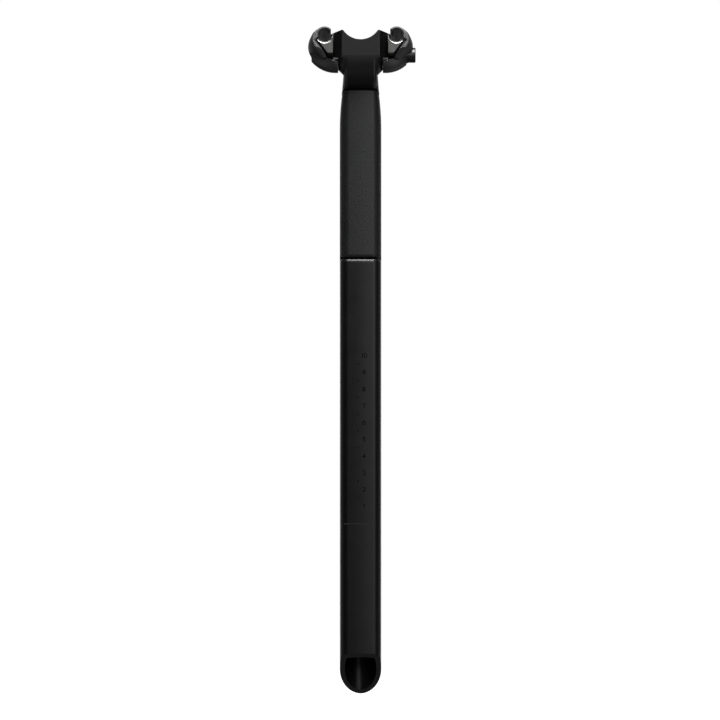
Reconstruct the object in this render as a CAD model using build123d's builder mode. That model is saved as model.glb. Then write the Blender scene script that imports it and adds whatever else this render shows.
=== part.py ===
"""Bicycle seatpost with a D-shaped section, a rear flex insert and a side-clamping saddle head.

Millimetres. +Z runs up the post, +Y is the front of the bicycle and +X its right side.
The origin lies on the post's widest line, level with the tip of its lower end.
"""

import math
import os

from build123d import *

# Tube section
tube_width = 24.8
back_depth = 12.2
front_depth = 18.8
side_taper = 1.1
rear_crown = 0.6
corner_radius = 4.6
wall = 2.9
cut_angle = 38.0

# Flex insert and its pocket
pocket_length = 101.6
pocket_depth_below_bolt = 19.8
pocket_floor = 6.6
pocket_drop = 4.2
lip_radius = 2.4
insert_inset = 0.25
insert_corner = 5.2
insert_top_edge = 1.2
insert_gap = 0.1
leaf_wall = 3.0

# Neck
neck_length = 44.0
neck_width = 19.4
neck_lean = 6.0
neck_rise = 2.0
neck_inset = 0.5
neck_corner = 2.0
flare_drop = 8.0

# Head
bolt_height = 382.0
setback = 11.7
barrel_radius = 12.0
barrel_width = 26.6
barrel_bevel = 3.0
head_width = 32.8
face_width = 22.8
facet_depth = 5.5
facet_corner = 0.8
shoulder_drop = 1.5
underside_inset = 0.1
ear_height = 15.1
ear_slope = 2.0
scallop_radius = 12.5
scallop_bottom = 9.5

# Bush, bolt and washer
bush_radius = 6.0
bolt_radius = 3.0
hole_play = 0.2
thread_play = 0.05
bolt_head_radius = 4.5
bolt_head_height = 4.7
bolt_head_edge = 0.4
key_width = 5.0
key_depth = 3.0
washer_radius = 4.9
washer_thickness = 1.0
washer_reach = 5.7
bolt_tip_reach = 7.9

# Saddle rails
rail_radius = 3.5
rail_spacing = 43.0
rail_height = 8.5
clamp_length = 34.0
cradle_recess = 1.4
clamp_tilt = 14.0
slide_gap = 0.02

# Inner cradle
cradle_foot = 2.8
cradle_foot_width = 3.4
cradle_horn = 1.1
horn_reach = 4.3
horn_drop = 3.3
groove_end_angle = -30.0
groove_bevel = 1.5
cradle_boss_radius = 5.4
cradle_boss_length = 3.4

# Outer clamp: places are pairs, reach outward from the rail and height above the bolt
hook_thickness = 1.7
hook_tip_angle = 140.0
hook_root_angle = -18.0
hook_side_angle = 65.0
hook_bevel = 0.8
hook_edge = 0.6
pocket_bevel = 1.2
wall_top = (5.6, 11.3)
wall_shoulder = (8.4, 9.2)
wall_side = (9.9, 5.0)
wall_low = (8.4, 0.4)
wall_foot = (1.5, -5.0)
end_top = (5.0, 11.4)
end_shoulder = (7.0, 9.3)
end_side = (7.9, 6.0)
end_low = (5.8, 0.1)
end_foot = (0.3, -4.4)
low_run = (-0.5, -0.85)
foot_inner = (-1.1, -3.7)
heel_height = 0.6
heel_bottom = (10.0, -7.0)
pocket_head = (5.5, 5.6)
rim_drop = 6.3
cup_radius = 10.6
cup_middle = (0.5, 9.3)
cup_end = (7.9, 3.8)
cup_play = 0.4
spot_play = 0.7

# Sizes that follow from the ones above
half_tube = tube_width / 2
half_neck = neck_width / 2
half_barrel = barrel_width / 2
half_head = head_width / 2
half_face = face_width / 2
rail_x = rail_spacing / 2
bolt_y = -setback
head_rear = bolt_y - barrel_radius
head_front = bolt_y + barrel_radius
head_top = bolt_height + ear_height
neck_end = bolt_height + neck_rise
neck_start = bolt_height - neck_length
pocket_top = bolt_height - pocket_depth_below_bolt
pocket_bottom = pocket_top - pocket_length
bore_top = pocket_bottom - pocket_floor
hole_radius = bolt_radius + hole_play
seat_x = rail_x + washer_reach
head_seat_x = seat_x + washer_thickness
section_depth = back_depth + front_depth
cut_rise = section_depth * math.tan(math.radians(cut_angle))
far = 4 * section_depth

# Planes and axes of the head
bolt_axis = Axis((0, bolt_y, bolt_height), (1, 0, 0))
bolt_face = Plane(origin=(0, bolt_y, bolt_height), x_dir=(1, 0, 0), z_dir=(0, -1, 0))
tilt = math.radians(clamp_tilt)
rail_dir = (0, -math.cos(tilt), math.sin(tilt))
rail_plane = Plane(origin=(0, bolt_y, bolt_height), x_dir=(1, 0, 0), z_dir=rail_dir)
rail_side = Plane(origin=(0, bolt_y, bolt_height), x_dir=rail_dir, z_dir=(-1, 0, 0))


def post_section(level, side, middle, back, front, corner):
    """Gives a D-shaped cross-section: half-width, height of its widest line, rear, front and corners."""
    rear = side - side_taper
    with BuildSketch(Plane.XY.offset(level)) as section:
        with BuildLine():
            EllipticalCenterArc((0, middle), side, front - middle, 0, arc_size=180)
            TangentArc((-side, middle), (-rear, back + rear_crown), tangent=(0, -1))
            ThreePointArc((-rear, back + rear_crown), (0, back), (rear, back + rear_crown))
            TangentArc((side, middle), (rear, back + rear_crown), tangent=(0, -1))
        make_face()
        fillet(section.vertices().group_by(Axis.Y)[0], corner)
    return section.sketch


def neck_sections(inset, tube_corner):
    """Gives the sections from the top of the straight tube to the head, narrowing and leaning back."""
    sections = []
    for step in range(5):
        share = step / 4
        blend = share * share * (3 - 2 * share)
        level = neck_start + (neck_end - neck_start) * share
        side = half_tube + (half_neck - half_tube) * blend - inset
        front = front_depth + (head_front - neck_inset - front_depth) * blend
        corner = tube_corner + (neck_corner - tube_corner) * blend
        sections.append(post_section(level, side, -neck_lean * blend, -back_depth, front, corner))
    return sections


def rail_point(angle, radius):
    """Gives the point at an angle on a circle round the right rail."""
    turn = math.radians(angle)
    return (rail_x + radius * math.cos(turn), rail_height + radius * math.sin(turn))


def clamp_point(place):
    """Gives a place on the right outer clamp from its reach and height."""
    return (rail_x + place[0], place[1])


# Rear of the neck: overhangs the insert in an arc and flares into the head
with BuildPart() as neck_rear:
    with BuildSketch(Plane.YZ):
        with BuildLine():
            overhang = TangentArc(
                (head_rear, bolt_height), (-back_depth, pocket_top), tangent=(0, -1)
            )
            run_in = (back_depth - neck_lean) / (overhang % 1).X
            root = overhang @ 1 + overhang % 1 * run_in
            Polyline(
                overhang @ 1,
                root,
                (-neck_lean, neck_end),
                (head_rear, neck_end),
                (head_rear, bolt_height),
            )
        make_face()
    extrude(amount=half_face, both=True)
    with BuildSketch(Plane.XZ):
        for side in (-1, 1):
            with BuildLine():
                TangentArc(
                    (side * half_neck, neck_end - flare_drop),
                    (side * half_face, neck_end),
                    tangent=(0, 1),
                )
                Polyline(
                    (side * half_face, neck_end),
                    (0, neck_end),
                    (0, pocket_bottom),
                    (side * half_neck, pocket_bottom),
                    (side * half_neck, neck_end - flare_drop),
                )
            make_face()
    extrude(amount=far, both=True, mode=Mode.INTERSECT)
    rear_edges = neck_rear.edges().filter_by(
        lambda edge: edge.center().Y < -neck_lean - neck_corner / 2
        and abs(edge.center().X) > half_neck / 2
        and edge.center().Z < neck_end
    )
    fillet(rear_edges, neck_corner)

# Plan of the head with slanted corners, level with the bolt
with BuildSketch(Plane.XY.offset(bolt_height)) as head_plan:
    with BuildLine():
        Polyline(
            (-half_face, head_rear),
            (half_face, head_rear),
            (half_head, head_rear + facet_depth),
            (half_head, head_front - facet_depth),
            (half_face, head_front),
            (-half_face, head_front),
            (-half_head, head_front - facet_depth),
            (-half_head, head_rear + facet_depth),
            close=True,
        )
    make_face()
    fillet(head_plan.vertices(), facet_corner)

# Underside of the head, round about the bolt and just inside the barrel
with BuildPart() as head_underside:
    extrude(head_plan.sketch, amount=-shoulder_drop)
    with BuildSketch(Plane.YZ.offset(-half_head)):
        with Locations((bolt_y, bolt_height)):
            Circle(barrel_radius - underside_inset)
    extrude(amount=head_width, mode=Mode.INTERSECT)

# Post body
tube_section = post_section(0, half_tube, 0, -back_depth, front_depth, corner_radius)
bore_section = post_section(
    0, half_tube - wall, 0, wall - back_depth, front_depth - wall, corner_radius - wall
)
with BuildPart() as post_body:
    add(neck_rear.part)
    # Straight tube and the narrowing part above it
    extrude(tube_section, amount=neck_start)
    loft(neck_sections(0, corner_radius))
    # Crosswise barrel with bevelled ends
    with BuildSketch(bolt_face):
        with BuildLine():
            Polyline(
                (-half_barrel, 0),
                (-half_barrel, barrel_radius - barrel_bevel),
                (barrel_bevel - half_barrel, barrel_radius),
                (half_barrel - barrel_bevel, barrel_radius),
                (half_barrel, barrel_radius - barrel_bevel),
                (half_barrel, 0),
                close=True,
            )
        make_face()
    revolve(axis=bolt_axis)
    # Head block and its underside
    extrude(head_plan.sketch, amount=ear_height)
    add(head_underside.part)
    # Scalloped top with sloping ears
    with BuildSketch(Plane.XZ.offset(-head_front)):
        with Locations((0, bolt_height + scallop_bottom + scallop_radius)):
            Circle(scallop_radius)
    extrude(amount=2 * barrel_radius, mode=Mode.SUBTRACT)
    with BuildSketch(Plane.XZ.offset(-head_front)):
        for side in (-1, 1):
            with BuildLine():
                Polyline(
                    (side * half_face, head_top),
                    (side * half_head, head_top - ear_slope),
                    (side * half_head, head_top),
                    close=True,
                )
            make_face()
    extrude(amount=2 * barrel_radius, mode=Mode.SUBTRACT)
    # Hole for the bush
    with BuildSketch(Plane.YZ.offset(-half_head)):
        with Locations((bolt_y, bolt_height)):
            Circle(bush_radius)
    extrude(amount=head_width, mode=Mode.SUBTRACT)
    # Main bore, and the slimmer bore in front of the insert
    extrude(bore_section, amount=bore_top, mode=Mode.SUBTRACT)
    with BuildSketch(Plane.XY.offset(bore_top - wall)):
        add(bore_section)
        with Locations((0, leaf_wall - far / 2)):
            Rectangle(far, far, mode=Mode.SUBTRACT)
    extrude(amount=neck_start - bore_top, mode=Mode.SUBTRACT)
    # Pocket for the insert, with a rounded lip below it
    with BuildSketch(Plane.YZ):
        with BuildLine():
            Polyline(
                (-far, pocket_bottom),
                (0, pocket_bottom),
                (0, pocket_top - pocket_drop),
                (-back_depth, pocket_top),
                (-far, pocket_top),
                close=True,
            )
        make_face()
    extrude(amount=far, both=True, mode=Mode.SUBTRACT)
    ledge = post_body.faces().sort_by_distance((0, -back_depth / 2, pocket_bottom))[0]
    fillet(ledge.edges().sort_by(Axis.Y)[0], lip_radius)
    # Slanted cut at the lower end
    with BuildSketch(Plane.YZ):
        with BuildLine():
            Polyline(
                (front_depth, 0),
                (-back_depth, cut_rise),
                (-far, cut_rise),
                (-far, -far),
                (front_depth, -far),
                close=True,
            )
        make_face()
    extrude(amount=far, both=True, mode=Mode.SUBTRACT)
post_body.part.label = "post_body"

# Flex insert
insert_section = post_section(
    0, half_tube - insert_inset, 0, -back_depth, front_depth, insert_corner
)
with BuildPart() as flex_insert:
    extrude(insert_section, amount=neck_start)
    loft(neck_sections(insert_inset, insert_corner))
    with BuildSketch(Plane.YZ):
        with BuildLine():
            Polyline(
                (-far, pocket_bottom + insert_gap),
                (0, pocket_bottom + insert_gap),
                (0, pocket_top - pocket_drop - insert_gap),
                (-back_depth, pocket_top - insert_gap),
                (-far, pocket_top - insert_gap),
                close=True,
            )
        make_face()
    extrude(amount=far, both=True, mode=Mode.INTERSECT)
    insert_foot = flex_insert.faces().sort_by(Axis.Z)[0]
    fillet(insert_foot.edges().sort_by(Axis.Y)[0], lip_radius)
    insert_head = flex_insert.faces().sort_by(Axis.Z)[-1]
    fillet(insert_head.edges().sort_by(Axis.Y)[0], insert_top_edge)
flex_insert.part.label = "flex_insert"

# Head bush
with BuildPart() as head_bush:
    with BuildSketch(Plane.YZ.offset(-half_head)):
        with Locations((bolt_y, bolt_height)):
            Circle(bush_radius)
            Circle(hole_radius, mode=Mode.SUBTRACT)
    extrude(amount=head_width)
head_bush.part.label = "head_bush"

# Right cradle
cradle_in = half_head + slide_gap
with BuildPart() as right_cradle:
    with BuildSketch(rail_plane):
        with BuildLine():
            Polyline(
                (rail_x - rail_radius, rail_height),
                (rail_x - rail_radius - cradle_horn / 2, rail_height + cradle_horn),
                (cradle_in, rail_height + cradle_horn),
                (cradle_in, -cradle_foot),
                (cradle_in + cradle_foot_width, -cradle_foot),
                (rail_x + horn_reach, rail_height - horn_drop),
                rail_point(groove_end_angle, rail_radius),
            )
            ThreePointArc(
                rail_point(groove_end_angle, rail_radius),
                rail_point(270, rail_radius),
                rail_point(180, rail_radius),
            )
        make_face()
    extrude(amount=clamp_length / 2 - cradle_recess, both=True)
    groove_edges = right_cradle.edges().filter_by(GeomType.CIRCLE)
    chamfer(groove_edges, groove_bevel)
    with BuildSketch(Plane.YZ.offset(cradle_in)):
        with Locations((bolt_y, bolt_height)):
            Circle(cradle_boss_radius)
    extrude(amount=cradle_boss_length)
    with BuildSketch(Plane.YZ.offset(cradle_in)):
        with Locations((bolt_y, bolt_height)):
            Circle(hole_radius)
    extrude(amount=rail_x, mode=Mode.SUBTRACT)
right_cradle.part.label = "right_cradle"

# Left cradle
with BuildPart() as left_cradle:
    mirror(right_cradle.part, about=Plane.YZ)
left_cradle.part.label = "left_cradle"

# Hook of an outer clamp: domed outside, fullest half way along the rail
hook_radius = rail_radius + hook_thickness
side_turn = math.radians(hook_side_angle)
arch_run = (math.sin(side_turn), -math.cos(side_turn))


def middle_of(start, end):
    """Gives the point half way between two points of a section."""
    return ((start[0] + end[0]) / 2, (start[1] + end[1]) / 2)


def hook_section(along, top, shoulder, side, low, foot):
    """Gives the outline of an outer clamp across the rail, at a distance along it, without its groove."""
    with BuildSketch(rail_plane.offset(along)) as section:
        with BuildLine():
            ThreePointArc(
                rail_point(hook_tip_angle, hook_radius),
                rail_point((hook_tip_angle + hook_side_angle) / 2, hook_radius),
                rail_point(hook_side_angle, hook_radius),
            )
            Spline(
                rail_point(hook_side_angle, hook_radius),
                clamp_point(top),
                clamp_point(shoulder),
                clamp_point(side),
                clamp_point(low),
                tangents=(arch_run, low_run),
            )
            Polyline(
                clamp_point(low),
                clamp_point(foot),
                (rail_x - hook_radius, foot[1]),
                rail_point(hook_tip_angle, hook_radius),
            )
        make_face()
    return section.sketch


with BuildPart() as hook:
    loft(
        [
            hook_section(-clamp_length / 2, end_top, end_shoulder, end_side, end_low, end_foot),
            hook_section(0, wall_top, wall_shoulder, wall_side, wall_low, wall_foot),
            hook_section(clamp_length / 2, end_top, end_shoulder, end_side, end_low, end_foot),
        ]
    )
    # Rail groove and the room for the cradle
    with BuildSketch(rail_plane):
        with BuildLine():
            Polyline(
                clamp_point(foot_inner),
                clamp_point(pocket_head),
                rail_point(hook_root_angle, rail_radius),
                (rail_x, rail_height),
                rail_point(hook_tip_angle, far),
                (rail_x - far, -far),
                (rail_x + foot_inner[0], -far),
                close=True,
            )
        make_face()
        with Locations((rail_x, rail_height)):
            Circle(rail_radius)
    extrude(amount=far, both=True, mode=Mode.SUBTRACT)
    # Bevelled ends: the groove, the outside, and the side towards the cradle
    groove_edges = hook.edges().filter_by(GeomType.CIRCLE)
    rim_edges = []
    pocket_edges = []
    for end in (-clamp_length / 2, clamp_length / 2):
        end_plane = rail_plane.offset(end)
        arch = end_plane.from_local_coords(rail_point((hook_tip_angle + hook_side_angle) / 2, hook_radius))
        side = end_plane.from_local_coords(clamp_point(end_side))
        heel = end_plane.from_local_coords(clamp_point(middle_of(end_low, end_foot)))
        pocket = end_plane.from_local_coords(clamp_point(middle_of(foot_inner, pocket_head)))
        rim_edges += [hook.edges().sort_by_distance(place)[0] for place in (arch, side, heel)]
        pocket_edges.append(hook.edges().sort_by_distance(pocket)[0])
    chamfer(groove_edges, hook_bevel)
    chamfer(rim_edges, hook_edge)
    chamfer(pocket_edges, pocket_bevel)
    # Lower ends slanted in towards the cup
    with BuildSketch(rail_side):
        with BuildLine():
            Polyline(
                (-clamp_length / 2, far),
                (-clamp_length / 2, heel_height),
                (-heel_bottom[0], heel_bottom[1]),
                heel_bottom,
                (clamp_length / 2, heel_height),
                (clamp_length / 2, far),
                close=True,
            )
        make_face()
    extrude(amount=far, both=True, mode=Mode.INTERSECT)

# Blank of an outer clamp: a cup round the bolt, room for the cradle, and the hook
cup_in = half_barrel + slide_gap
with BuildPart() as clamp_blank:
    with BuildSketch(bolt_face):
        with BuildLine():
            ThreePointArc((cup_in, cup_radius), clamp_point(cup_middle), clamp_point(cup_end))
            Polyline(
                clamp_point(cup_end),
                (rail_x + cup_end[0], 0),
                (cup_in, 0),
                (cup_in, cup_radius),
            )
        make_face()
    revolve(axis=bolt_axis)
    with BuildSketch(rail_plane):
        with BuildLine():
            Polyline(
                (cup_in, -rim_drop),
                clamp_point(foot_inner),
                clamp_point(pocket_head),
                (rail_x + pocket_head[0], far),
                (0, far),
                (0, -rim_drop),
                close=True,
            )
        make_face()
    extrude(amount=far, both=True, mode=Mode.SUBTRACT)
    with BuildSketch(Plane.YZ.offset(cup_in)):
        with Locations((bolt_y, bolt_height)):
            Circle(bush_radius + cup_play)
    extrude(amount=rail_x + foot_inner[0] - cup_in, mode=Mode.SUBTRACT)
    add(hook.part)

# Right clamp
with BuildPart() as right_clamp:
    add(clamp_blank.part)
    with BuildSketch(Plane.YZ.offset(seat_x)):
        with Locations((bolt_y, bolt_height)):
            Circle(washer_radius + spot_play)
    extrude(amount=far, mode=Mode.SUBTRACT)
    with BuildSketch(Plane.YZ.offset(cup_in)):
        with Locations((bolt_y, bolt_height)):
            Circle(hole_radius)
    extrude(amount=far, mode=Mode.SUBTRACT)
right_clamp.part.label = "right_clamp"

# Left clamp
with BuildPart() as left_clamp:
    mirror(clamp_blank.part, about=Plane.YZ)
    with BuildSketch(Plane.YZ.offset(-cup_in)):
        with Locations((bolt_y, bolt_height)):
            Circle(bolt_radius)
    extrude(amount=-far, mode=Mode.SUBTRACT)
left_clamp.part.label = "left_clamp"

# Bolt washer
with BuildPart() as bolt_washer:
    with BuildSketch(Plane.YZ.offset(seat_x)):
        with Locations((bolt_y, bolt_height)):
            Circle(washer_radius)
            Circle(hole_radius, mode=Mode.SUBTRACT)
    extrude(amount=washer_thickness)
bolt_washer.part.label = "bolt_washer"

# Clamp bolt
with BuildPart() as clamp_bolt:
    with BuildSketch(Plane.YZ.offset(head_seat_x)):
        with Locations((bolt_y, bolt_height)):
            Circle(bolt_head_radius)
    extrude(amount=bolt_head_height)
    chamfer(clamp_bolt.edges().group_by(Axis.X)[-1], bolt_head_edge)
    with BuildSketch(Plane.YZ.offset(head_seat_x)):
        with Locations((bolt_y, bolt_height)):
            Circle(bolt_radius - thread_play)
    extrude(amount=-head_seat_x - rail_x - bolt_tip_reach)
    with BuildSketch(Plane.YZ.offset(head_seat_x + bolt_head_height)):
        with Locations((bolt_y, bolt_height)):
            RegularPolygon(key_width / 2, 6, major_radius=False)
    extrude(amount=-key_depth, mode=Mode.SUBTRACT)
clamp_bolt.part.label = "clamp_bolt"

os.makedirs("parts", exist_ok=True)
export_step(post_body.part, "parts/post_body.step")
export_step(flex_insert.part, "parts/flex_insert.step")
export_step(head_bush.part, "parts/head_bush.step")
export_step(left_cradle.part, "parts/left_cradle.step")
export_step(right_cradle.part, "parts/right_cradle.step")
export_step(left_clamp.part, "parts/left_clamp.step")
export_step(right_clamp.part, "parts/right_clamp.step")
export_step(bolt_washer.part, "parts/bolt_washer.step")
export_step(clamp_bolt.part, "parts/clamp_bolt.step")
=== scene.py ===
"""Looks of a bicycle seatpost with a D-shaped tube, a soft rear insert and a side-clamping head.

Metres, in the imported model's frame: +Z up the post, +Y to the bicycle's front, +X to its right.
"""

import logging
import math
from dataclasses import dataclass
from enum import Enum

import bmesh
import bpy
import numpy as np
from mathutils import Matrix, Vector

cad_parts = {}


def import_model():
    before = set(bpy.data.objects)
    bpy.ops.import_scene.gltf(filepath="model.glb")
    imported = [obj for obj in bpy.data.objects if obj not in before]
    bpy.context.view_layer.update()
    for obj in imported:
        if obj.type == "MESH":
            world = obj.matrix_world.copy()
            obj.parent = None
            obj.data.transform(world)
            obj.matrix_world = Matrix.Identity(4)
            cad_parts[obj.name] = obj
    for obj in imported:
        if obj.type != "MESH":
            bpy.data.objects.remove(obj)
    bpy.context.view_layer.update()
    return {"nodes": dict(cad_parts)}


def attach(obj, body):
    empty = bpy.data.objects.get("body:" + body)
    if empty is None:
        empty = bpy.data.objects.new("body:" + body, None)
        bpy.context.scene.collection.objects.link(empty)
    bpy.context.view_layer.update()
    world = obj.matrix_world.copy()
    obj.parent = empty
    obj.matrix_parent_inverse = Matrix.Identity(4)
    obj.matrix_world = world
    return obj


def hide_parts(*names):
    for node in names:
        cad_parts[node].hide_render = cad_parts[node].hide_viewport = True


log = logging.getLogger("seatpost")

MM = 0.001
WHITE = "#ffffff"

# A point or a direction, and the points and four-cornered faces of a strip
Place = tuple[float, float, float]
Strip = tuple[np.ndarray, np.ndarray]

# Slow noise behind mottling and gloss: its octaves, their falloff and the span it seldom leaves
CLOUD_DETAIL = 4.0
CLOUD_FALLOFF = 0.6
CLOUD_SPAN = (0.3, 0.7)

# Octaves of the fine noise of a pitted surface, and of a waved one
PITTED_DETAIL = 3.0
WAVED_DETAIL = 0.0


def linear(colour: str) -> tuple[float, float, float, float]:
    """Turns an sRGB hex colour into linear values, by that standard's curve.

    Args:
        colour: Six hex digits after a hash sign.

    Returns:
        Red, green, blue and an alpha of one.
    """
    parts = np.array([int(colour[i : i + 2], 16) for i in (1, 3, 5)]) / 255
    values = np.where(parts <= 0.04045, parts / 12.92, ((parts + 0.055) / 1.055) ** 2.4)
    return (float(values[0]), float(values[1]), float(values[2]), 1.0)


def per_metre(size_mm: float) -> float:
    """Gives the texture scale at which a pattern repeats about every so many millimetres."""
    return 1.0 / (size_mm * MM)


def add_node(
    tree: bpy.types.NodeTree,
    kind: str,
    values: dict | None = None,
    links: dict | None = None,
    **settings: object,
) -> bpy.types.Node:
    """Adds one node with its settings, constant values and links.

    Args:
        tree: Node tree that gets the node.
        kind: Blender's class name of the node.
        values: Socket name or number to its constant value.
        links: Socket name or number to the output that feeds it.
        settings: Properties of the node itself.

    Returns:
        The new node.
    """
    node = tree.nodes.new(kind)
    for name, setting in settings.items():
        setattr(node, name, setting)
    for socket, value in (values or {}).items():
        node.inputs[socket].default_value = value
    for socket, source in (links or {}).items():
        tree.links.new(source, node.inputs[socket])
    return node


class Grain(Enum):
    """Kind of fine relief on a surface."""

    PEBBLED = "pebbled by the mould"
    PITTED = "finely pitted, as by blasting"
    WAVED = "gently waved, as by a sprayed coat or a turning tool"


@dataclass(frozen=True)
class GrooveCut:
    """Rim of a rail groove, cut bright after anodising.

    The cut lies between two distances from the rail's axis. Both rails stand equally far from the
    middle and above the bolt, square to their slope.
    """

    colour: str = "#a9a9a7"
    gloss: float = 0.34
    inside: float = 3.6 * MM
    outside: float = 5.1 * MM
    rail_across: float = 21.5 * MM
    rail_height: float = 8.5 * MM
    rail_slope: float = math.radians(14.0)
    bolt_depth: float = -11.7 * MM
    bolt_level: float = 382.0 * MM

    def upward(self) -> Place:
        """Gives the direction square to the rails, which leans forward by their slope."""
        return (0.0, math.sin(self.rail_slope), math.cos(self.rail_slope))

    def middle(self) -> Place:
        """Gives a point on the right rail's axis, at the rail's height above the bolt."""
        _, forward, up = self.upward()
        return (
            self.rail_across,
            self.bolt_depth + self.rail_height * forward,
            self.bolt_level + self.rail_height * up,
        )

    def mask(self, tree: bpy.types.NodeTree, place: bpy.types.NodeSocket) -> bpy.types.NodeSocket:
        """Adds nodes that tell the rim from the rest by the distance from the rail's axis.

        That distance is the root of two summed squares: of the distance sideways, with left taken
        as right, and of the height square to the rails.

        Args:
            tree: Node tree of the material.
            place: Socket with the place on the object.

        Returns:
            Socket that is one on the rim and nought elsewhere.
        """
        mirrored = add_node(tree, "ShaderNodeVectorMath", {}, {0: place}, operation="ABSOLUTE")
        sideways = add_node(
            tree, "ShaderNodeSeparateXYZ", {}, {"Vector": mirrored.outputs["Vector"]}
        )
        aside = add_node(
            tree,
            "ShaderNodeMath",
            {1: self.rail_across},
            {0: sideways.outputs["X"]},
            operation="SUBTRACT",
        )
        shifted = add_node(
            tree, "ShaderNodeVectorMath", {1: self.middle()}, {0: place}, operation="SUBTRACT"
        )
        above = add_node(
            tree,
            "ShaderNodeVectorMath",
            {1: self.upward()},
            {0: shifted.outputs["Vector"]},
            operation="DOT_PRODUCT",
        )
        both = add_node(
            tree,
            "ShaderNodeCombineXYZ",
            {},
            {"X": aside.outputs["Value"], "Y": above.outputs["Value"]},
        )
        radius = add_node(
            tree, "ShaderNodeVectorMath", {}, {0: both.outputs["Vector"]}, operation="LENGTH"
        )
        band = add_node(
            tree,
            "ShaderNodeMath",
            {1: (self.inside + self.outside) / 2, 2: (self.outside - self.inside) / 2},
            {0: radius.outputs["Value"]},
            operation="COMPARE",
        )
        return band.outputs["Value"]


@dataclass(frozen=True)
class Finish:
    """One finish: a base colour mottled with a second, a varying gloss and a fine relief.

    The mottling and the gloss follow one slow noise, the relief follows a fine pattern of its own.
    """

    name: str
    colour: str
    mottle: str
    mottle_mm: float
    metallic: float
    rough_low: float
    rough_high: float
    grain: Grain
    grain_mm: float
    grain_depth_mm: float
    ior: float = 1.5
    cut: GrooveCut | None = None

    def material(self) -> bpy.types.Material:
        """Makes the procedural material of this finish.

        Returns:
            The new material.
        """
        material = bpy.data.materials.new(self.name)
        material.use_nodes = True
        tree = material.node_tree
        tree.nodes.clear()
        place = add_node(tree, "ShaderNodeTexCoord").outputs["Object"]
        cloud = add_node(
            tree,
            "ShaderNodeTexNoise",
            {
                "Scale": per_metre(self.mottle_mm),
                "Detail": CLOUD_DETAIL,
                "Roughness": CLOUD_FALLOFF,
            },
            {"Vector": place},
        ).outputs["Fac"]
        base = add_node(
            tree,
            "ShaderNodeMix",
            {"A": linear(self.colour), "B": linear(self.mottle)},
            {"Factor": cloud},
            data_type="RGBA",
        ).outputs["Result"]
        gloss = add_node(
            tree,
            "ShaderNodeMapRange",
            {
                "From Min": CLOUD_SPAN[0],
                "From Max": CLOUD_SPAN[1],
                "To Min": self.rough_low,
                "To Max": self.rough_high,
            },
            {"Value": cloud},
        ).outputs["Result"]
        if self.cut is not None:
            rim = self.cut.mask(tree, place)
            base = add_node(
                tree,
                "ShaderNodeMix",
                {"B": linear(self.cut.colour)},
                {"Factor": rim, "A": base},
                data_type="RGBA",
            ).outputs["Result"]
            gloss = add_node(
                tree,
                "ShaderNodeMix",
                {"B": self.cut.gloss},
                {"Factor": rim, "A": gloss},
                data_type="FLOAT",
            ).outputs["Result"]
        bump = add_node(
            tree,
            "ShaderNodeBump",
            {"Strength": 1.0, "Distance": self.grain_depth_mm * MM},
            {"Height": self.relief(tree, place)},
        ).outputs["Normal"]
        shader = add_node(
            tree,
            "ShaderNodeBsdfPrincipled",
            {"Metallic": self.metallic, "IOR": self.ior},
            {"Base Color": base, "Roughness": gloss, "Normal": bump},
        )
        add_node(tree, "ShaderNodeOutputMaterial", {}, {"Surface": shader.outputs["BSDF"]})
        return material

    def relief(
        self, tree: bpy.types.NodeTree, place: bpy.types.NodeSocket
    ) -> bpy.types.NodeSocket:
        """Adds the fine relief of the surface: smooth cells where it is pebbled, or else a noise.

        Args:
            tree: Node tree of the material.
            place: Socket with the place on the object.

        Returns:
            Socket with the height, from about zero to one.
        """
        scale = per_metre(self.grain_mm)
        if self.grain is Grain.PEBBLED:
            cells = add_node(
                tree,
                "ShaderNodeTexVoronoi",
                {"Scale": scale},
                {"Vector": place},
                feature="SMOOTH_F1",
            )
            return cells.outputs["Distance"]
        detail = PITTED_DETAIL if self.grain is Grain.PITTED else WAVED_DETAIL
        noise = add_node(
            tree, "ShaderNodeTexNoise", {"Scale": scale, "Detail": detail}, {"Vector": place}
        )
        return noise.outputs["Fac"]


# Carbon laminate under a sprayed satin coat: near black, a soft sheen with a gentle wave in it
SATIN_CARBON = Finish(
    "carbon laminate, satin clear coat sprayed",
    colour="#08080a",
    mottle="#0d0d0f",
    mottle_mm=14.0,
    metallic=0.0,
    rough_low=0.33,
    rough_high=0.37,
    grain=Grain.WAVED,
    grain_mm=1.6,
    grain_depth_mm=0.0025,
)

# Thermoplastic elastomer from a spark-eroded mould: dark grey and matt, with a fine pebble grain
# The grain is drawn coarser than the real one, which would be too fine to show
SOFT_INSERT = Finish(
    "elastomer, fine grain moulded",
    colour="#0c0d0d",
    mottle="#121313",
    mottle_mm=9.0,
    metallic=0.0,
    rough_low=0.47,
    rough_high=0.53,
    grain=Grain.PEBBLED,
    grain_mm=0.75,
    grain_depth_mm=0.055,
    ior=1.53,
)

# Forged aluminium, bead blasted and anodised black: even dark grey with a broad soft highlight
# What shows is the dyed oxide on the metal, so it is shaded as that and not as a metal
BLACK_ANODISED = Finish(
    "aluminium, blasted and anodised black",
    colour="#232324",
    mottle="#29292a",
    mottle_mm=6.0,
    metallic=0.0,
    rough_low=0.40,
    rough_high=0.48,
    grain=Grain.PITTED,
    grain_mm=0.25,
    grain_depth_mm=0.006,
    ior=1.7,
)

# Forged aluminium, bead blasted and anodised grey, the groove's rim cut after that: a bright ring
GREY_ANODISED = Finish(
    "aluminium, blasted and anodised grey",
    colour="#434342",
    mottle="#4b4b4a",
    mottle_mm=5.0,
    metallic=1.0,
    rough_low=0.56,
    rough_high=0.64,
    grain=Grain.PITTED,
    grain_mm=0.25,
    grain_depth_mm=0.006,
    cut=GrooveCut(),
)

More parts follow.
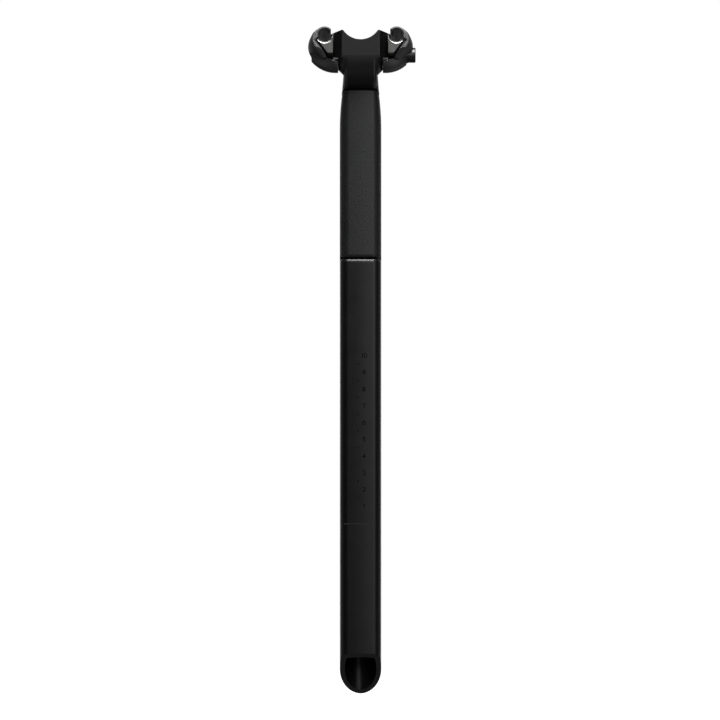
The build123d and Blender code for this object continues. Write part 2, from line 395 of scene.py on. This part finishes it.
# Turned aluminium left bare: bright, with a soft gloss
BARE_ALUMINIUM = Finish(
    "aluminium, turned and bare",
    colour="#d9d9d7",
    mottle="#cfcfcd",
    mottle_mm=3.0,
    metallic=1.0,
    rough_low=0.38,
    rough_high=0.48,
    grain=Grain.WAVED,
    grain_mm=0.5,
    grain_depth_mm=0.002,
)

# Alloy steel in black oxide: oily black with a tight highlight
BLACK_STEEL = Finish(
    "alloy steel, black oxide",
    colour="#3c3c3d",
    mottle="#464646",
    mottle_mm=2.5,
    metallic=1.0,
    rough_low=0.32,
    rough_high=0.42,
    grain=Grain.PITTED,
    grain_mm=0.3,
    grain_depth_mm=0.003,
)

# Pad-printed black ink: takes the sheen off the coat, so the numbers read darker than the tube
BLACK_INK = Finish(
    "ink, matt black, pad printed",
    colour="#060606",
    mottle="#0a0a0a",
    mottle_mm=1.0,
    metallic=0.0,
    rough_low=0.70,
    rough_high=0.80,
    grain=Grain.PITTED,
    grain_mm=0.2,
    grain_depth_mm=0.002,
    ior=1.2,
)

# Pad-printed grey ink: a thin line a little paler than the tube
GREY_INK = Finish(
    "ink, matt grey, pad printed",
    colour="#222223",
    mottle="#2a2a2b",
    mottle_mm=1.0,
    metallic=0.0,
    rough_low=0.60,
    rough_high=0.70,
    grain=Grain.PITTED,
    grain_mm=0.2,
    grain_depth_mm=0.002,
    ior=1.4,
)


class Shelf:
    """Materials made so far, one for each finish."""

    def __init__(self) -> None:
        """Starts with no materials."""
        self.made: dict[str, bpy.types.Material] = {}

    def coat(self, piece: bpy.types.Object, finish: Finish) -> None:
        """Gives a piece its finish.

        Args:
            piece: Mesh object to be coated.
            finish: Finish that it gets.
        """
        if finish.name not in self.made:
            self.made[finish.name] = finish.material()
        piece.data.materials.clear()
        piece.data.materials.append(self.made[finish.name])
        log.info("%s: %s", piece.name, finish.name)


@dataclass
class PostBody:
    """The carbon post with its bonded bush and soft insert, which keep the model's own shapes."""

    nodes: dict[str, bpy.types.Object]

    def dress(self, shelf: Shelf) -> None:
        """Coats the three pieces.

        Args:
            shelf: Materials to coat them with.
        """
        shelf.coat(self.nodes["post_body"], SATIN_CARBON)
        shelf.coat(self.nodes["flex_insert"], SOFT_INSERT)
        shelf.coat(self.nodes["head_bush"], BARE_ALUMINIUM)


@dataclass(frozen=True)
class Arc:
    """Part of an ellipse in a numeral, in shares of its height, with angles in degrees."""

    across: float
    up: float
    half_width: float
    half_height: float
    start: float
    end: float
    points: int = 25

    def path(self) -> np.ndarray:
        """Gives points along the arc: its middle plus the half sizes times cosine and sine.

        Returns:
            The points, across and up.
        """
        turn = np.radians(np.linspace(self.start, self.end, self.points))
        middle = np.array([self.across, self.up])
        half = np.array([self.half_width, self.half_height])
        return middle + half * np.stack([np.cos(turn), np.sin(turn)], axis=1)


@dataclass(frozen=True)
class Bar:
    """Straight stroke of a numeral, in shares of its height."""

    start: tuple[float, float]
    end: tuple[float, float]
    points: int = 5

    def path(self) -> np.ndarray:
        """Gives points along the bar, evenly from its start to its end."""
        return np.linspace(self.start, self.end, self.points)


NUMERALS: dict[str, tuple[Arc | Bar, ...]] = {
    "0": (Arc(0.0, 0.0, 0.31, 0.46, 0, 360),),
    "1": (Bar((0.04, -0.46), (0.04, 0.46)), Bar((0.04, 0.46), (-0.16, 0.32))),
    "2": (
        Arc(0.0, 0.19, 0.27, 0.27, 165, -35),
        Bar((0.22, 0.035), (-0.28, -0.46)),
        Bar((-0.28, -0.46), (0.29, -0.46)),
    ),
    "3": (Arc(0.0, 0.23, 0.25, 0.23, 150, -90), Arc(0.0, -0.23, 0.29, 0.23, 90, -150)),
    "4": (
        Bar((0.14, -0.46), (0.14, 0.46)),
        Bar((0.14, 0.46), (-0.3, -0.18)),
        Bar((-0.3, -0.18), (0.31, -0.18)),
    ),
    "5": (
        Bar((0.24, 0.46), (-0.19, 0.46)),
        Bar((-0.19, 0.46), (-0.23, 0.04)),
        Arc(0.0, -0.15, 0.29, 0.31, 140, -150),
    ),
    "6": (Arc(0.0, -0.16, 0.29, 0.3, 0, 360), Arc(0.19, -0.12, 0.48, 0.58, 176, 96)),
    "7": (Bar((-0.28, 0.46), (0.28, 0.46)), Bar((0.28, 0.46), (-0.08, -0.46))),
    "8": (Arc(0.0, 0.24, 0.24, 0.22, 0, 360), Arc(0.0, -0.22, 0.29, 0.24, 0, 360)),
    "9": (Arc(0.0, 0.16, 0.29, 0.3, 0, 360), Arc(-0.19, 0.12, 0.48, 0.58, -4, -84)),
}


@dataclass
class HeightScale:
    """Printed height scale on the rear face: numerals, dots between them and the limit line.

    The rear face is a shallow cylinder: its depth falls off with the square of the distance from
    the middle, over twice the radius. The radius follows from the half width and the crown's rise.
    """

    rear_depth: float = 12.2 * MM
    crown_half: float = 11.3 * MM
    crown_rise: float = 0.6 * MM
    sunk: float = 0.10 * MM
    proud: float = 0.03 * MM
    first_level: float = 112.4 * MM
    pitch: float = 10.0 * MM
    count: int = 10
    numeral_across: float = 2.1 * MM
    numeral_height: float = 2.7 * MM
    numeral_step: float = 1.75 * MM
    stroke: float = 0.46 * MM
    dot_across: float = -1.4 * MM
    dot_radius: float = 0.42 * MM
    dot_points: int = 17
    line_level: float = 101.75 * MM
    line_start: float = -10.0 * MM
    line_end: float = 9.4 * MM
    line_height: float = 0.7 * MM
    line_points: int = 41

    def on_face(self, across: np.ndarray, level: np.ndarray, lift: np.ndarray) -> np.ndarray:
        """Lays points on the rear face.

        Args:
            across: Distances from the middle, to the right.
            level: Heights up the post.
            lift: Distances out of the face.

        Returns:
            The points, with one more axis of three.
        """
        radius = (self.crown_half**2 + self.crown_rise**2) / (2 * self.crown_rise)
        depth = across**2 / (2 * radius) - self.rear_depth - lift
        return np.stack([across, depth, level], axis=-1)

    def ribbon(self, path: np.ndarray, width: float) -> Strip:
        """Carries a flat rectangle along a path on the face, as a closed strip.

        Args:
            path: Points along the middle of the strip, across and up.
            width: Width of the strip.

        Returns:
            Its points and its four-cornered faces.
        """
        run = np.gradient(path, axis=0)
        run /= np.linalg.norm(run, axis=1, keepdims=True)
        aside = np.stack([-run[:, 1], run[:, 0]], axis=1) * width / 2
        sides = np.stack([path + aside, path + aside, path - aside, path - aside], axis=1)
        lift = np.broadcast_to([-self.sunk, self.proud, self.proud, -self.sunk], sides.shape[:2])
        points = self.on_face(sides[..., 0], sides[..., 1], lift).reshape(-1, 3)
        corners = sides.shape[1]
        row = np.arange(len(path) - 1)[:, None] * corners
        following = row + corners
        corner = np.arange(corners)
        beside = (corner + 1) % corners
        walls = np.stack(
            [row + corner, row + beside, following + beside, following + corner], axis=-1
        )
        ends = np.stack([corner[::-1], following[-1] + corner])
        return points, np.concatenate([walls.reshape(-1, corners), ends])

    def piece(self, name: str, parts: list[Strip]) -> bpy.types.Object:
        """Joins strips into one piece that rides on the post.

        Args:
            name: Name of the piece.
            parts: Points and faces of each strip.

        Returns:
            The new object.
        """
        starts = np.cumsum([0] + [len(points) for points, _ in parts[:-1]])
        points = np.concatenate([points for points, _ in parts])
        faces = np.concatenate([faces + start for (_, faces), start in zip(parts, starts)])
        mesh = bpy.data.meshes.new(name)
        mesh.from_pydata(points.tolist(), [], faces.tolist())
        mesh.update()
        piece = bpy.data.objects.new(name, mesh)
        bpy.context.scene.collection.objects.link(piece)
        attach(piece, "post")
        return piece

    def numerals(self) -> list[Strip]:
        """Draws all numerals, counted upward, with their digits about one middle.

        Returns:
            A strip for each stroke.
        """
        parts = []
        for number in range(1, self.count + 1):
            level = self.first_level + (number - 1) * self.pitch
            text = str(number)
            for place, digit in enumerate(text):
                shift = (place - (len(text) - 1) / 2) * self.numeral_step
                middle = np.array([self.numeral_across + shift, level])
                for mark in NUMERALS[digit]:
                    path = mark.path() * self.numeral_height + middle
                    parts.append(self.ribbon(path, self.stroke))
        return parts

    def dots(self) -> list[Strip]:
        """Draws the dots half way between the numerals: rings as wide as their own radius.

        Returns:
            A strip for each dot.
        """
        turn = np.linspace(0, 2 * math.pi, self.dot_points)
        ring = np.stack([np.cos(turn), np.sin(turn)], axis=1) * self.dot_radius / 2
        parts = []
        for number in range(1, self.count):
            level = self.first_level + (number - 0.5) * self.pitch
            parts.append(self.ribbon(ring + [self.dot_across, level], self.dot_radius))
        return parts

    def line(self) -> list[Strip]:
        """Draws the limit line across the face.

        Returns:
            The one strip of the line.
        """
        across = np.linspace(self.line_start, self.line_end, self.line_points)
        path = np.stack([across, np.full_like(across, self.line_level)], axis=1)
        return [self.ribbon(path, self.line_height)]

    def dress(self, shelf: Shelf) -> None:
        """Builds and coats the prints."""
        shelf.coat(self.piece("height_numerals", self.numerals() + self.dots()), BLACK_INK)
        shelf.coat(self.piece("limit_line", self.line()), GREY_INK)


@dataclass
class ClampHead:
    """The saddle clamp: forged cradles and outer clamps with edges worn soft, and the bolt.

    A copy of each forging is skinned anew with even cells and smoothed, which rounds its edges.
    """

    nodes: dict[str, bpy.types.Object]
    weld: float = 0.001 * MM
    cell: float = 0.25 * MM
    rounds: int = 10
    pull: float = 0.5

    def soften(self, node: str, body: str) -> bpy.types.Object:
        """Stands a copy with rounded edges in for a node.

        Args:
            node: Name of the model node.
            body: Body that it moves with.

        Returns:
            The new object.
        """
        mesh = self.nodes[node].data.copy()
        skin = bmesh.new()
        skin.from_mesh(mesh)
        bmesh.ops.remove_doubles(skin, verts=skin.verts, dist=self.weld)
        skin.to_mesh(mesh)
        skin.free()
        piece = bpy.data.objects.new(f"{node}_forging", mesh)
        bpy.context.scene.collection.objects.link(piece)
        cells = piece.modifiers.new("even cells", "REMESH")
        cells.mode = "VOXEL"
        cells.voxel_size = self.cell
        cells.use_smooth_shade = True
        smooth = piece.modifiers.new("rounded edges", "SMOOTH")
        smooth.factor = self.pull
        smooth.iterations = self.rounds
        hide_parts(node)
        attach(piece, body)
        return piece

    def dress(self, shelf: Shelf) -> None:
        """Builds the forgings and coats all pieces of the clamp.

        Args:
            shelf: Materials to coat them with.
        """
        shelf.coat(self.soften("left_cradle", "carriage"), GREY_ANODISED)
        shelf.coat(self.soften("right_cradle", "carriage"), GREY_ANODISED)
        shelf.coat(self.soften("left_clamp", "left_jaw"), BLACK_ANODISED)
        shelf.coat(self.soften("right_clamp", "right_jaw"), BLACK_ANODISED)
        shelf.coat(self.nodes["bolt_washer"], BLACK_STEEL)
        shelf.coat(self.nodes["clamp_bolt"], BLACK_STEEL)


@dataclass(frozen=True)
class SoftBox:
    """Rectangular lamp with an even face, its power in watts."""

    name: str
    place: Place
    aim: Place
    width: float
    height: float
    watts: float

    def hang(self) -> None:
        """Adds the lamp at its place, facing its aim, where the camera doesn't see it."""
        data = bpy.data.lights.new(self.name, "AREA")
        data.shape = "RECTANGLE"
        data.size = self.width
        data.size_y = self.height
        data.energy = self.watts
        lamp = bpy.data.objects.new(self.name, data)
        lamp.location = self.place
        facing = Vector(self.aim) - Vector(self.place)
        lamp.rotation_euler = facing.to_track_quat("-Z", "Y").to_euler()
        lamp.visible_camera = False
        bpy.context.scene.collection.objects.link(lamp)


@dataclass(frozen=True)
class Glow:
    """Soft patch of light in the surroundings, far off.

    Its azimuth runs from the camera's side to the right, its elevation up from level, in degrees.
    Its light grows between two cosines of the angle from its middle.
    """

    name: str
    azimuth: float
    elevation: float
    strength: float
    edge: float = 0.885
    full: float = 0.985

    def toward(self) -> Place:
        """Gives the direction of its middle, from the sines and cosines of the two angles.

        Returns:
            The direction, of length one.
        """
        turn = math.radians(self.azimuth)
        rise = math.radians(self.elevation)
        level = math.cos(rise)
        return (level * math.sin(turn), -level * math.cos(turn), math.sin(rise))

    def light(self, tree: bpy.types.NodeTree, way: bpy.types.NodeSocket) -> bpy.types.NodeSocket:
        """Adds the patch, by the cosine of the angle between its middle and the way looked in.

        Args:
            tree: Node tree of the surroundings.
            way: Socket with the direction looked in.

        Returns:
            Socket with the light.
        """
        cosine = add_node(
            tree, "ShaderNodeVectorMath", {1: self.toward()}, {0: way}, operation="DOT_PRODUCT"
        ).outputs["Value"]
        patch = add_node(
            tree,
            "ShaderNodeMapRange",
            {"From Min": self.edge, "From Max": self.full, "To Min": 0.0, "To Max": self.strength},
            {"Value": cosine},
            label=self.name,
            interpolation_type="SMOOTHSTEP",
        )
        return patch.outputs["Result"]


# Overhead for the lip below the insert, the hooks and the groove rims; near the head for the
# bolt's highlight; far to the right for the sheen that grows across the tube
SOFT_BOXES = (
    SoftBox(
        "overhead_box",
        place=(0.0, -0.16, 0.82),
        aim=(0.0, -0.02, 0.36),
        width=0.30,
        height=0.40,
        watts=6.3,
    ),
    SoftBox(
        "bolt_box",
        place=(0.07, -0.155, 0.67),
        aim=(0.045, -0.012, 0.382),
        width=0.05,
        height=0.05,
        watts=0.26,
    ),
    SoftBox(
        "right_box",
        place=(0.62, -2.3, 0.95),
        aim=(0.0, 0.0, 0.30),
        width=0.20,
        height=0.90,
        watts=12.5,
    ),
)

# Faint patches: the low ones show the undersides of the clamps, the wide ones the post's sides
GLOWS = (
    Glow("front above", azimuth=0, elevation=32, strength=0.15),
    Glow("right low", azimuth=30, elevation=-18, strength=0.45),
    Glow("right below", azimuth=45, elevation=-45, strength=0.75),
    Glow("left below", azimuth=-45, elevation=-45, strength=0.3),
    Glow("far left below", azimuth=-90, elevation=-45, strength=0.3),
    Glow("far right below", azimuth=135, elevation=-45, strength=0.3),
    Glow("floor", azimuth=180, elevation=-75, strength=0.12),
    Glow("left side", azimuth=-115, elevation=6, strength=0.16, edge=0.72, full=0.98),
    Glow("right side", azimuth=115, elevation=6, strength=0.16, edge=0.72, full=0.98),
)


@dataclass
class Studio:
    """Pale floor, soft lights and the camera behind the post.

    The camera sees plain white all round. The part is lit by the soft boxes, by a white backdrop on
    its far side and by the faint patches, and the floor doesn't light it.
    """

    distance: float = 17.0
    across: float = -0.00033
    height: float = 0.19975
    frame_width: float = 0.4306
    rear_face: float = -0.0122
    sensor_mm: float = 36.0
    sight: float = 50.0
    floor_half: float = 6.0
    floor_colour: str = "#f6f6f5"
    floor_rough: float = 0.9
    floor_glow: float = 0.96
    dimness: float = 0.03
    backdrop_edge: float = 0.88
    backdrop_full: float = 0.99

    def camera(self) -> None:
        """Puts a level camera behind the post, so far off that it sees hardly any perspective."""
        data = bpy.data.cameras.new("camera")
        data.sensor_width = self.sensor_mm
        data.lens = self.sensor_mm * (self.distance + self.rear_face) / self.frame_width
        data.clip_end = self.sight
        camera = bpy.data.objects.new("camera", data)
        camera.location = (self.across, -self.distance, self.height)
        camera.rotation_euler = (math.pi / 2, 0.0, 0.0)
        bpy.context.scene.collection.objects.link(camera)
        bpy.context.scene.camera = camera

    def floor(self) -> None:
        """Lays a wide pale floor under the post's lower tip."""
        mesh = bpy.data.meshes.new("floor")
        corners = self.floor_half * np.array([[-1, -1, 0], [1, -1, 0], [1, 1, 0], [-1, 1, 0]])
        mesh.from_pydata(corners.tolist(), [], [(0, 1, 2, 3)])
        # Matt white paper, so even and pale that it melts into the white behind it
        material = bpy.data.materials.new("paper, matt white")
        material.use_nodes = True
        shader = material.node_tree.nodes["Principled BSDF"]
        shader.inputs["Base Color"].default_value = linear(self.floor_colour)
        shader.inputs["Roughness"].default_value = self.floor_rough
        shader.inputs["Emission Color"].default_value = linear(WHITE)
        shader.inputs["Emission Strength"].default_value = self.floor_glow
        mesh.materials.append(material)
        floor = bpy.data.objects.new("floor", mesh)
        floor.visible_diffuse = False
        floor.visible_glossy = False
        bpy.context.scene.collection.objects.link(floor)

    def lights(self) -> None:
        """Hangs the soft boxes."""
        for box in SOFT_BOXES:
            box.hang()

    def world(self) -> None:
        """Surrounds the part with dimness, a white backdrop on its far side and the faint patches.

        The backdrop grows between two values of the forward share of the way looked in.
        """
        world = bpy.data.worlds.new("studio")
        world.use_nodes = True
        tree = world.node_tree
        tree.nodes.clear()
        way = add_node(tree, "ShaderNodeTexCoord").outputs["Generated"]
        parts = add_node(tree, "ShaderNodeSeparateXYZ", {}, {"Vector": way}).outputs
        share = add_node(
            tree,
            "ShaderNodeMapRange",
            {
                "From Min": self.backdrop_edge,
                "From Max": self.backdrop_full,
                "To Min": self.dimness,
                "To Max": 1.0,
            },
            {"Value": parts["Y"]},
            interpolation_type="SMOOTHSTEP",
        ).outputs["Result"]
        for glow in GLOWS:
            patch = glow.light(tree, way)
            total = add_node(tree, "ShaderNodeMath", {}, {0: share, 1: patch}, operation="ADD")
            share = total.outputs["Value"]
        lit = add_node(
            tree, "ShaderNodeBackground", {"Color": linear(WHITE)}, {"Strength": share}
        )
        seen = add_node(tree, "ShaderNodeBackground", {"Color": linear(WHITE), "Strength": 1.0})
        eye = add_node(tree, "ShaderNodeLightPath").outputs["Is Camera Ray"]
        both = add_node(
            tree,
            "ShaderNodeMixShader",
            {},
            {0: eye, 1: lit.outputs["Background"], 2: seen.outputs["Background"]},
        )
        add_node(tree, "ShaderNodeOutputWorld", {}, {"Surface": both.outputs["Shader"]})
        bpy.context.scene.world = world

    def build(self) -> None:
        """Sets up camera, floor, lights and surroundings."""
        bpy.context.scene.view_settings.view_transform = "Standard"
        self.camera()
        self.floor()
        self.lights()
        self.world()
        log.info("studio: camera, floor and lights")


def main() -> None:
    """Loads the model, builds and dresses its pieces and sets up the studio."""
    logging.basicConfig(level=logging.INFO, format="%(name)s: %(message)s")
    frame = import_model()
    shelf = Shelf()
    PostBody(frame["nodes"]).dress(shelf)
    HeightScale().dress(shelf)
    ClampHead(frame["nodes"]).dress(shelf)
    Studio().build()


if __name__ == "__main__":
    main()
